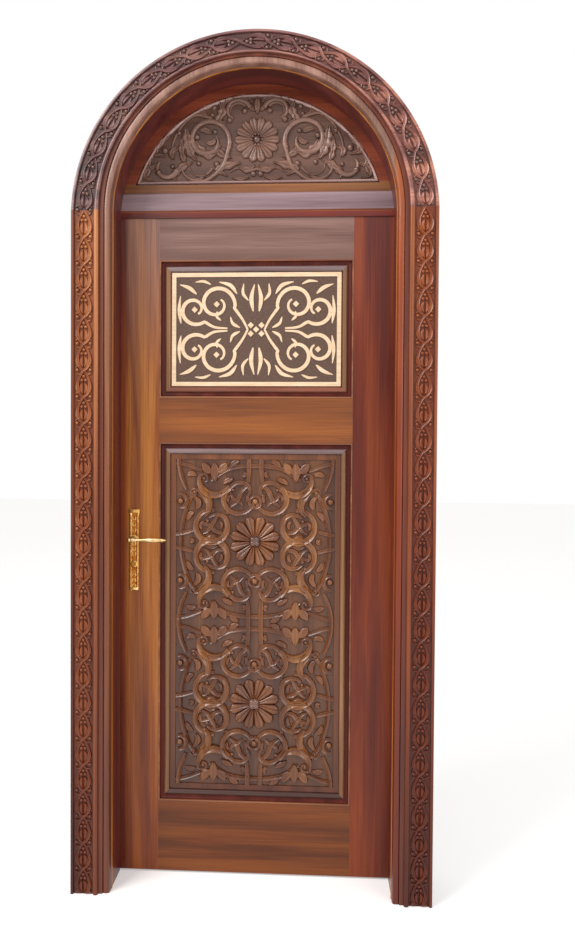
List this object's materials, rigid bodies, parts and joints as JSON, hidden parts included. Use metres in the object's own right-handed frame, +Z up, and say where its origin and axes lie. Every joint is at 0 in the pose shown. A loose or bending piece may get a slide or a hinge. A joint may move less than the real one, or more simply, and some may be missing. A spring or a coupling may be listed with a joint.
{
  "type": "arched panelled door with frame",
  "caption": "Hinged hardwood door leaf with carved panel and inlaid plaque, lever handles and mortise lock, in an arched jamb with carved casing and carved fixed lunette.",
  "frame": {"origin": "floor level, centre of the whole outline in plan", "axes": "+Z up, +X to the hinge side, -Y towards the viewer of the carved face, so the leaf opens towards +Y"},
  "size_m": [1.15, 0.2594, 2.7309],
  "materials": {
    "leaf_wood": "glossy varnish",
    "carved_wood": "glossy varnish over carving",
    "arch_wood": "glossy varnish over carving",
    "reveal_wood": "glossy varnish",
    "plaque_ground": "dark stained, satin",
    "gilt_wood": "gilded, satin",
    "handle_brass": "polished",
    "lock_steel": "brushed"
  },
  "bodies": {
    "frame": {"right_casing": "carved_wood", "left_casing": "carved_wood", "arch_casing": "arch_wood", "right_jamb": "reveal_wood", "left_jamb": "reveal_wood", "arch_jamb": "reveal_wood", "strike_plate": "lock_steel", "transom_bar": "leaf_wood", "lunette_frame": "leaf_wood", "lunette_panel": "carved_wood", "hinge_frame_halves": "lock_steel"},
    "leaf": {"back_backplate": "handle_brass", "bottom_rail": "leaf_wood", "front_backplate": "handle_brass", "hinge_door_halves": "lock_steel", "hinge_stile": "leaf_wood", "key_cylinder": "handle_brass", "lock_case": "lock_steel", "lock_forend": "lock_steel", "lock_rail": "leaf_wood", "lock_stile": "leaf_wood", "lower_back_moulding_bottom": "leaf_wood", "lower_back_moulding_left": "leaf_wood", "lower_back_moulding_right": "leaf_wood", "lower_back_moulding_top": "leaf_wood", "lower_front_moulding_bottom": "leaf_wood", "lower_front_moulding_left": "leaf_wood", "lower_front_moulding_right": "leaf_wood", "lower_front_moulding_top": "leaf_wood", "lower_panel": "carved_wood", "plaque_border": "gilt_wood", "plaque_ground": "plaque_ground", "plaque_scrollwork": "gilt_wood", "top_rail": "leaf_wood", "upper_back_moulding_bottom": "leaf_wood", "upper_back_moulding_left": "leaf_wood", "upper_back_moulding_right": "leaf_wood", "upper_back_moulding_top": "leaf_wood", "upper_front_moulding_bottom": "leaf_wood", "upper_front_moulding_left": "leaf_wood", "upper_front_moulding_right": "leaf_wood", "upper_front_moulding_top": "leaf_wood", "upper_panel": "leaf_wood"},
    "handle": {"front_lever": "handle_brass", "back_lever": "handle_brass", "spindle": "lock_steel"},
    "latch": {"latch_bolt": "lock_steel"},
    "bolt": {"dead_bolt": "lock_steel"}
  },
  "joints": [
    {"name": "leaf_swing", "type": "hinge", "parent": "frame", "child": "leaf", "pos_m": [0.463, 0.08275, 0], "axis": [0, 0, -1], "range_deg": [0, 110]},
    {"name": "lever_turn", "type": "hinge", "parent": "leaf", "child": "handle", "pos_m": [-0.405, 0.05275, 1.128], "axis": [0, 1, 0], "range_deg": [0, 40], "stiffness_Nm_per_rad": 1, "springref_deg": -20.05},
    {"name": "latch_slide", "type": "slide", "parent": "leaf", "child": "latch", "axis": [1, 0, 0], "range_m": [0, 0.012]},
    {"name": "dead_bolt_slide", "type": "slide", "parent": "leaf", "child": "bolt", "axis": [-1, 0, 0], "range_m": [0, 0.02]}
  ],
  "couplings": [
    {"joint": "latch_slide", "follows": "lever_turn", "m_per_rad": 0.01718}
  ]
}
